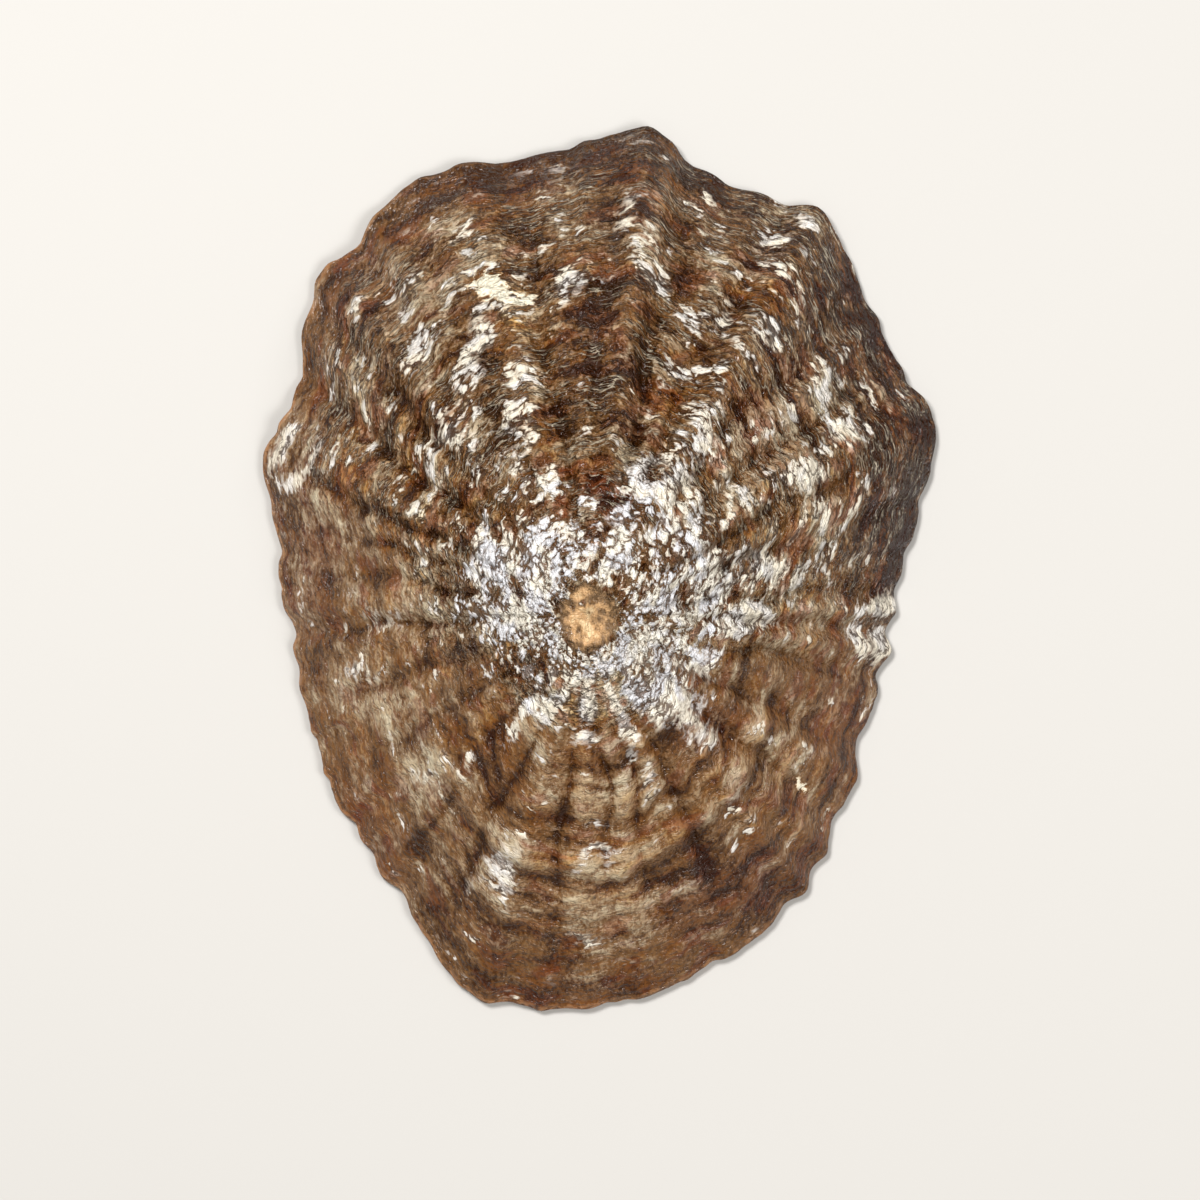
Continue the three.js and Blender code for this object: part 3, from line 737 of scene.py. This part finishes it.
def store(name, values):
    """One number, or three, for each point of the mesh."""
    kind, field = ("FLOAT", "value") if values.ndim == 1 else ("FLOAT_VECTOR", "vector")
    stored = mesh.attributes.new(name, kind, "POINT")
    stored.data.foreach_set(field, values.astype(np.float32).ravel())
    print(f"{name}: {values.min():.2f} to {values.max():.2f}")


store("grain", grain)
for name, parts in STORED.items():
    store(name, np.stack([at_points[part] for part in parts], -1))
store("age", all_age)

# %% [markdown]
# ## Materials
# A shader is a tree of nodes. It could be drawn in the shader editor, but as text it can be read and
# changed in one place. Link by link that is long, so a few helpers add a node with its settings and
# plug what they are given into its sockets: a number or colour is set, a socket is linked.


# %% Adding nodes
def fill(tree, made, inputs):
    """Fills a node's inputs by name or number: sockets are linked, and numbers and colours are set."""
    for key, value in inputs.items():
        if isinstance(value, bpy.types.NodeSocket):
            tree.links.new(value, made.inputs[key])
        else:
            made.inputs[key].default_value = value


def node(tree, kind, inputs=(), output=0, **settings):
    """Adds a node, sets its properties, fills its inputs and gives back one of its outputs."""
    made = tree.nodes.new(kind)
    for name, value in settings.items():
        setattr(made, name, value)
    fill(tree, made, dict(inputs))
    return made.outputs[output] if made.outputs else made


def attribute(tree, name, output="Vector"):
    """What store() put on the mesh."""
    return node(tree, "ShaderNodeAttribute", output=output, attribute_name=name)


def split(tree, vector):
    """The three numbers of a vector, as three sockets."""
    return node(tree, "ShaderNodeSeparateXYZ", {0: vector}).node.outputs[:]


print("A material can read", ["grain", *STORED, "age"])


# %% Sums and blends as nodes
def product(tree, first, *others):
    """The numbers or sockets multiplied together."""
    for other in others:
        first = node(tree, "ShaderNodeMath", {0: first, 1: other}, operation="MULTIPLY")
    return first


def weighted_sum(tree, start, *terms):
    """start, plus each term's value times its weight."""
    for value, weight in terms:
        start = node(tree, "ShaderNodeMath", {0: value, 1: weight, 2: start}, operation="MULTIPLY_ADD")
    return start


def spread(tree, value, low, high, to_low=0.0, to_high=1.0):
    """Turns the range from low to high into the range from to_low to to_high, with soft ends."""
    inputs = {"Value": value, "From Min": low, "From Max": high, "To Min": to_low, "To Max": to_high}
    return node(tree, "ShaderNodeMapRange", inputs, interpolation_type="SMOOTHSTEP")


def mix_colour(tree, share, first, second, blend_type="MIX"):
    """The first colour where share is 0 and the second where it is 1."""
    inputs = {0: share, 6: first, 7: second}
    return node(tree, "ShaderNodeMix", inputs, 2, data_type="RGBA", blend_type=blend_type)


def lay(tree, colour, over, value, *span):
    """The colour with another laid over it as value passes through that span, given as to spread()."""
    return mix_colour(tree, spread(tree, value, *span), colour, over)


def srgb(red, green, blue):
    """A colour as a screen shows it, from 0 to 255, turned into the light that Blender works with."""
    shown = np.array([red, green, blue]) / 255
    light = np.where(shown <= 0.04045, shown / 12.92, ((shown + 0.055) / 1.055) ** 2.4)
    return (*light.tolist(), 1.0)


print("Half grey on a screen is", round(srgb(128, 128, 128)[0], 3), "of white's light")

# %% [markdown]
# ### Groups
# An effect that is used more than once, or is worth a name, is a node group with named sockets. Copies
# of the same nodes would work, but each change would have to be made in every copy. Streaks are noise
# drawn out along the growth lines, and both materials use them. Strands are the light hair lines of the
# horny layer, partly painted highlight, each with a painted shadow line beside it. Flakes are the white
# scales where that layer has gone, partly painted highlight too.


# %% A new group
NUMBER, VECTOR = "NodeSocketFloat", "NodeSocketVector"


def new_group(name, inputs, outputs):
    """An empty node group with those sockets, each a name and a kind, and for a number its usual value."""
    group = bpy.data.node_groups.new(name, "ShaderNodeTree")
    for socket_name, kind, *usual in inputs:
        socket = group.interface.new_socket(socket_name, in_out="INPUT", socket_type=kind)
        if usual:
            socket.default_value = usual[0]
    for socket_name, kind in outputs:
        group.interface.new_socket(socket_name, in_out="OUTPUT", socket_type=kind)
    print("Group", name, "gives", [socket_name for socket_name, _ in outputs])
    return group, group.nodes.new("NodeGroupInput").outputs, group.nodes.new("NodeGroupOutput").inputs


def use(tree, group, inputs):
    """Places a node group in a material and gives back its outputs."""
    made = tree.nodes.new("ShaderNodeGroup")
    made.node_tree = group
    fill(tree, made, inputs)
    return made.outputs


# %% Streaks
def make_streaks():
    """Noise of many sizes in the grain's own space.

    Value is from 0 to 1, mostly near the middle. Push is three such numbers less a half.
    """
    sockets = [("Grain", VECTOR), ("Size", NUMBER, 1.0)]
    sockets += [("Wobble", NUMBER, 0.5), ("Harshness", NUMBER, 0.6)]
    group, given, put = new_group("streaks", sockets, [("Value", NUMBER), ("Push", VECTOR)])
    inputs = {"Vector": given["Grain"], "Scale": given["Size"], "Detail": 2.0}
    inputs |= {"Roughness": given["Harshness"], "Distortion": given["Wobble"]}
    value = node(group, "ShaderNodeTexNoise", inputs)
    group.links.new(value, put["Value"])
    halves = {0: value.node.outputs["Color"], 1: (-0.5, -0.5, -0.5)}
    group.links.new(node(group, "ShaderNodeVectorMath", halves, operation="ADD"), put["Push"])
    return group


streaks = make_streaks()


# %% Strands
def make_strands():
    """Hair lines where a drawn-out noise passes a middle value: Bright on them, partly painted highlight,
    and just beside them a painted shadow line.
    """
    sockets = [("Grain", VECTOR), ("Size", NUMBER, 1.0)]
    group, given, put = new_group("strands", sockets, [("Bright", NUMBER), ("Shadow", NUMBER)])
    stretch = {0: given["Grain"], 1: (0.45, 0.45, 1.5)}
    drawn = node(group, "ShaderNodeVectorMath", stretch, operation="MULTIPLY")
    noise = {"Vector": drawn, "Scale": given["Size"], "Detail": 2.0, "Roughness": 0.6, "Distortion": 0.4}
    value = node(group, "ShaderNodeTexNoise", noise)
    # Bright is the light line, partly painted highlight; the second contour, just beside it, is a painted
    # shadow line.
    for name, middle, width in [("Bright", 0.5, 0.035), ("Shadow", 0.55, 0.04)]:
        apart = node(group, "ShaderNodeMath", {0: value, 1: middle}, operation="SUBTRACT")
        away = node(group, "ShaderNodeMath", {0: apart}, operation="ABSOLUTE")
        group.links.new(spread(group, away, width, 0.0), put[name])
    return group


strands = make_strands()


# %% Flakes
def make_flakes():
    """Cells pushed out of shape: Mask is 1 on a share Amount of them, Height a low dome, Crack the gaps.

    Merge closes the gaps, so that neighbours grow together.
    """
    sockets = [("Grain", VECTOR), ("Push", VECTOR), ("Size", NUMBER, 1.0)]
    sockets += [("Amount", NUMBER, 0.5), ("Merge", NUMBER, 0.0)]
    made = [("Mask", NUMBER), ("Height", NUMBER), ("Crack", NUMBER)]
    group, given, put = new_group("flakes", sockets, made)
    shift = {0: given["Push"], 1: (0.8, 0.8, 0.8), 2: given["Grain"]}
    pushed = node(group, "ShaderNodeVectorMath", shift, operation="MULTIPLY_ADD")
    cells = {"Vector": pushed, "Scale": given["Size"]}
    luck = node(group, "ShaderNodeSeparateColor", {0: node(group, "ShaderNodeTexVoronoi", cells, 1)})
    gap = node(group, "ShaderNodeTexVoronoi", cells, feature="DISTANCE_TO_EDGE")
    gap = weighted_sum(group, gap, (given["Merge"], 1.0))
    chosen = spread(group, weighted_sum(group, given["Amount"], (luck, -1.0)), -0.05, 0.3)
    group.links.new(product(group, chosen, spread(group, gap, 0.03, 0.14)), put["Mask"])
    group.links.new(spread(group, gap, 0.0, 0.3), put["Height"])
    group.links.new(spread(group, gap, 0.1, 0.0), put["Crack"])
    return group


flakes = make_flakes()

# %% [markdown]
# ### The outside
# The outside is brown, from near black to pinkish tan, drawn in fine streaks along the growth lines.
# Wherever the horny brown layer is rubbed off, chalk white shows in crisp flakes: close together round
# the tip, and scattered on the folds. Part of that white is painted highlight, glints laid into the
# colour. A painted image would blur up close, so the material is built in layers from the stored numbers
# and noise: the brown ground, the flakes, then the chips, the scar and the bare edge, and last the relief
# from the same nodes. Each layer leaves on `on` what a later one needs.

# %% Colours of the outside
DEEP_BROWN = srgb(50, 26, 6)
BROWN = srgb(112, 77, 42)
TAN = srgb(163, 136, 104)
BONE = srgb(212, 199, 174)
CRACK_BROWN = srgb(92, 64, 38)
AMBER_TINT = (1.0, 0.76, 0.36, 1.0)
MAROON_TINT = (0.78, 0.5, 0.5, 1.0)
PALE_GREY = srgb(192, 178, 150)
# Chalk and chalk cream are the worn shell's white, and also the colour of the painted highlights.
CHALK = srgb(232, 231, 234)
CHALK_CREAM = srgb(236, 229, 213)
CREAM_YELLOW = srgb(240, 232, 208)
CHIP_ORANGE = srgb(214, 164, 104)
SCAR_PALE = srgb(226, 194, 148)
SCAR_TAN = srgb(196, 154, 108)
SCAR_BROWN = srgb(108, 83, 57)
EDGE_ORANGE = srgb(176, 128, 88)
print("Deep brown gives back", round(DEEP_BROWN[0], 3), "of red light, and chalk", round(CHALK[0], 2))

# %% What varies over the outside
RUGGED = (0.45, 0.9)  # the stored rugged value where a place counts as smooth, and as fully rugged


def read_outside(tree):
    """The stored masks by name, and noise of three sizes: blotches, a streaky mottle and fine specks."""
    on = SimpleNamespace(grain=attribute(tree, "grain"))
    for stored, parts in STORED.items():
        vars(on).update(zip(parts, split(tree, attribute(tree, stored))))
    blotch = use(tree, streaks, {"Grain": on.grain, "Size": 0.5, "Wobble": 0.4, "Harshness": 0.5})
    on.push_x, on.push_y, on.push_z = split(tree, blotch["Push"])
    streak = use(tree, streaks, {"Grain": on.grain, "Size": 1.9, "Wobble": 0.3, "Harshness": 0.65})
    on.push = streak["Push"]
    on.mottle = spread(tree, streak["Value"], 0.38, 0.62, -0.5, 0.5)
    flat = {0: node(tree, "ShaderNodeTexCoord", output="Object"), 1: (1.0, 0.45, 1.0)}
    place = node(tree, "ShaderNodeVectorMath", flat, operation="MULTIPLY")
    speck = {"Vector": place, "Scale": 2600.0, "Detail": 2.0, "Roughness": 0.7}
    on.fine = spread(tree, node(tree, "ShaderNodeTexNoise", speck), 0.35, 0.65, -0.5, 0.5)
    return on


def by_rugged(tree, on, smooth, full):
    """One number where the shell is smooth, another where it is fully rugged, and between them a blend."""
    return spread(tree, on.rugged, *RUGGED, smooth, full)


print("The outside reads", sum(map(len, STORED.values())), "masks")


# %% The brown ground
def brown_ground(tree, on):
    """Deep brown, brown, tan and bone in turn as light grows, tinted by patch, with hair lines over it:
    bone on them, partly painted highlight, and deep brown beside them as a painted shadow.
    """
    on.light = weighted_sum(
        tree, on.tone, (on.mottle, by_rugged(tree, on, 0.1, 0.6)), (on.fine, 0.45),
        (on.push_x, by_rugged(tree, on, 1.1, 2.5)), (on.pale, 0.3), (on.dark, -0.45),
    )
    colour = lay(tree, DEEP_BROWN, BROWN, on.light, -0.4, 0.5)
    colour = lay(tree, colour, TAN, on.light, 0.4, 1.1)
    colour = lay(tree, colour, BONE, on.light, 1.0, 1.7)
    amber = weighted_sum(tree, spread(tree, on.push_y, 0.02, 0.12, 0.0, 0.7), (on.amber, 0.8))
    colour = mix_colour(tree, amber, colour, AMBER_TINT, "MULTIPLY")
    on.redness = weighted_sum(tree, spread(tree, on.push_z, 0.03, 0.13, 0.0, 0.7), (on.maroon, 0.8))
    colour = mix_colour(tree, on.redness, colour, MAROON_TINT, "MULTIPLY")
    pale = weighted_sum(tree, spread(tree, on.push_y, -0.04, -0.14, 0.0, 0.5), (on.pale, 0.7))
    colour = mix_colour(tree, product(tree, pale, spread(tree, on.light, 0.0, 1.0)), colour, PALE_GREY)

    strand = use(tree, strands, {"Grain": on.grain, "Size": 1.7})
    hairy = product(tree, by_rugged(tree, on, 0.0, 1.0), spread(tree, on.push_z, 0.04, -0.08, 0.0, 0.9))
    on.hair = product(tree, strand["Bright"], hairy)
    # Deep brown just beside each hair line is a painted shadow, and the bone laid on it is partly painted
    # highlight.
    colour = mix_colour(tree, product(tree, strand["Shadow"], hairy), colour, DEEP_BROWN)
    return mix_colour(tree, product(tree, on.hair, 0.7), colour, BONE)


# %% The white flakes
def add_flakes(tree, on, colour):
    """Chalk white where the shell is rubbed through and as painted highlight, then dark cracks, then the
    flakes: more of them on the white patches.
    """
    amount = weighted_sum(
        tree, by_rugged(tree, on, -0.3, 0.11), (on.bleached, 0.7), (on.beads, 0.55), (on.flank, 0.3),
        (on.dark, -0.5), (on.redness, -0.3), (on.push_x, 3.3), (on.mottle, 0.3),
    )
    merge = weighted_sum(tree, -0.01, (on.mottle, 0.05), (on.push_y, -0.6))
    inputs = {"Grain": on.grain, "Push": on.push, "Size": 1.35, "Amount": amount, "Merge": merge}
    on.flake = use(tree, flakes, inputs)

    chalk = lay(tree, CHALK, CHALK_CREAM, on.push_z, -0.08, 0.08)
    chalk = lay(tree, chalk, TAN, on.fine, -0.05, -0.45, 0.0, 0.3)
    chalk = lay(tree, chalk, BONE, on.beads, 0.0, 0.5, 0.4, 0.0)
    # Chalk white laid on the bleached patches: partly worn shell and partly painted highlight.
    worn_and_glints = weighted_sum(tree, on.bleached, (on.push_x, 2.0), (on.mottle, 0.5))
    colour = lay(tree, colour, chalk, worn_and_glints, 0.35, 1.2, 0.0, 0.85)
    crack = product(tree, on.flake["Crack"], spread(tree, amount, 0.1, 0.5, 0.0, 0.85))
    colour = mix_colour(tree, crack, colour, mix_colour(tree, on.beads, DEEP_BROWN, CRACK_BROWN))
    return mix_colour(tree, product(tree, on.flake["Mask"], 0.95), colour, chalk)


# %% The chips, the scar and the bare edge
def add_wear(tree, on, colour):
    """Cream chips with an orange rim, the scar from brown rim to pale middle, and the orange edge line."""
    chipped = weighted_sum(tree, on.cream, (on.mottle, 0.6))
    chip = lay(tree, CHIP_ORANGE, CREAM_YELLOW, chipped, 0.3, 0.8)
    colour = lay(tree, colour, chip, chipped, 0.4, 0.65, 0.0, 0.9)
    worn_through = weighted_sum(tree, on.scar, (on.fine, 0.25))
    tan = lay(tree, SCAR_BROWN, SCAR_TAN, worn_through, 0.2, 0.75)
    tan = lay(tree, tan, SCAR_PALE, worn_through, 0.7, 1.1)
    colour = lay(tree, colour, tan, worn_through, 0.1, 0.25)
    bare = product(tree, on.edge, spread(tree, on.mottle, -0.4, 0.4, 0.1, 0.7))
    return mix_colour(tree, bare, colour, EDGE_ORANGE)


# %% The outside's relief
def outside_bump(tree, on):
    """Mottle between the flakes, the flakes' own domes, specks and hair lines, deepest in rugged places."""
    unchalked = weighted_sum(tree, 1.0, (on.flake["Mask"], -0.6))
    height = weighted_sum(
        tree, product(tree, on.mottle, by_rugged(tree, on, 0.25, 1.0), unchalked),
        (on.flake["Height"], by_rugged(tree, on, 0.2, 0.8)), (on.fine, 0.1), (on.hair, 0.4),
    )
    return node(tree, "ShaderNodeBump", {"Height": height, "Strength": 1.0, "Distance": 0.3 * MM})


# %% The outside material
def new_material(name):
    """A material with an empty node tree."""
    material = bpy.data.materials.new(name)
    material.use_nodes = True
    material.node_tree.nodes.clear()
    return material, material.node_tree


def finish_material(tree, inputs):
    """The Principled shader with those inputs, and the output."""
    node(tree, "ShaderNodeOutputMaterial", {"Surface": node(tree, "ShaderNodeBsdfPrincipled", inputs)})
    print(len(tree.nodes), "nodes")


def make_outside():
    """The layers in turn, with a satin gloss that is duller on light places."""
    material, tree = new_material("shell_outside")
    on = read_outside(tree)
    colour = add_wear(tree, on, add_flakes(tree, on, brown_ground(tree, on)))
    roughness = spread(tree, on.light, 0.0, 1.2, 0.16, 0.36)
    finish_material(tree, {
        "Base Color": colour, "Roughness": roughness, "Normal": outside_bump(tree, on),
        "Specular IOR Level": 0.3,
    })
    return material


mesh.materials.append(make_outside())

# %% [markdown]
# ### The inside
# The animal kept the inside smooth, so it shines like porcelain: a dark brown band along the edge, then
# grey cream, and a warmer horseshoe under the tip where its muscle held on. A Gradient texture would
# make round rings of colour, but the stored age follows the shape of the edge, so it is used here.

# %% The inside material
BAND_BROWN = srgb(74, 44, 26)
INSIDE_GREY = srgb(196, 188, 176)
SCAR_CREAM = srgb(214, 190, 150)
INSIDE_TAN = srgb(150, 104, 66)


def make_inside():
    """Bands of colour by age, stirred a little by streaks, under a hard gloss."""
    material, tree = new_material("shell_inside")
    streak = use(tree, streaks, {"Grain": attribute(tree, "grain"), "Size": 0.35, "Wobble": 0.4})["Value"]
    middle = node(tree, "ShaderNodeMath", {0: streak, 1: 0.5}, operation="SUBTRACT")
    stirred = weighted_sum(tree, attribute(tree, "age", "Fac"), (middle, 0.12))
    colour = lay(tree, INSIDE_TAN, SCAR_CREAM, stirred, 0.12, 0.3)
    colour = lay(tree, colour, INSIDE_GREY, stirred, 0.38, 0.5)
    colour = lay(tree, colour, BAND_BROWN, stirred, 0.86, 0.95)
    bump = node(tree, "ShaderNodeBump", {"Height": streak, "Strength": 0.3, "Distance": 0.2 * MM})
    finish_material(tree, {
        "Base Color": colour, "Roughness": 0.22, "Normal": bump, "Coat Weight": 0.4, "Coat Roughness": 0.1,
    })
    return material


mesh.materials.append(make_inside())

# %% Which faces are inside
is_inside = np.arange(len(points)) >= inner_first - AROUND
inner_face = np.concatenate([is_inside[quads].all(1), is_inside[triangles].all(1)])
mesh.polygons.foreach_set("material_index", inner_face.astype(np.int32))
print(int(inner_face.sum()), "faces inside")

# %% [markdown]
# ## Floor and light
# A pale floor, a soft square lamp from the upper left, and a larger, weaker one from the right. A sun
# lamp would be simpler, but a glossy surface shows its lamps, and only large ones look soft in it. A
# little warm light from all round keeps the hollows from going black.

# %% Floor
FLOOR_HALF = 1.5  # half of the floor's width in metres
FLOOR_PALE = srgb(192, 189, 184)

floor_mesh = bpy.data.meshes.new("floor")
corners = [(x * FLOOR_HALF, y * FLOOR_HALF, 0) for x, y in [(-1, -1), (1, -1), (1, 1), (-1, 1)]]
floor_mesh.from_pydata(corners, [], [(0, 1, 2, 3)])
floor_object = bpy.data.objects.new("floor", floor_mesh)
bpy.context.scene.collection.objects.link(floor_object)
floor_material, floor_tree = new_material("floor")
finish_material(floor_tree, {"Base Color": FLOOR_PALE, "Roughness": 0.8})
floor_mesh.materials.append(floor_material)
print("The floor is", 2 * FLOOR_HALF, "m wide")


# %% Lamps
def lamp(name, place, size, power):
    """A square area lamp that faces the shell."""
    light = bpy.data.lights.new(name, "AREA")
    light.size, light.energy = size, power
    made = bpy.data.objects.new(name, light)
    made.location = place
    x, y, z = place
    made.rotation_euler = (0, math.atan2(math.hypot(x, y), z), math.atan2(y, x))
    bpy.context.scene.collection.objects.link(made)
    print(name, "lamp:", size, "m wide and", power, "W")


lamp("key", (-0.16, 0.19, 0.45), 0.14, 2.9)
lamp("fill", (0.29, -0.1, 0.43), 0.24, 1.7)

# %% Light from all round
WARM_WHITE = (1.0, 0.97, 0.93, 1)
world = bpy.data.worlds.new("studio")
world.use_nodes = True
fill(world.node_tree, world.node_tree.nodes["Background"], {"Color": WARM_WHITE, "Strength": 0.3})
bpy.context.scene.world = world
bpy.context.scene.view_settings.view_transform = "Standard"
print("The world is lit by", world.name)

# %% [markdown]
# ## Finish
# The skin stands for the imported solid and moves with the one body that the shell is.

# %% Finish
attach(shell, "root")
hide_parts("shell")
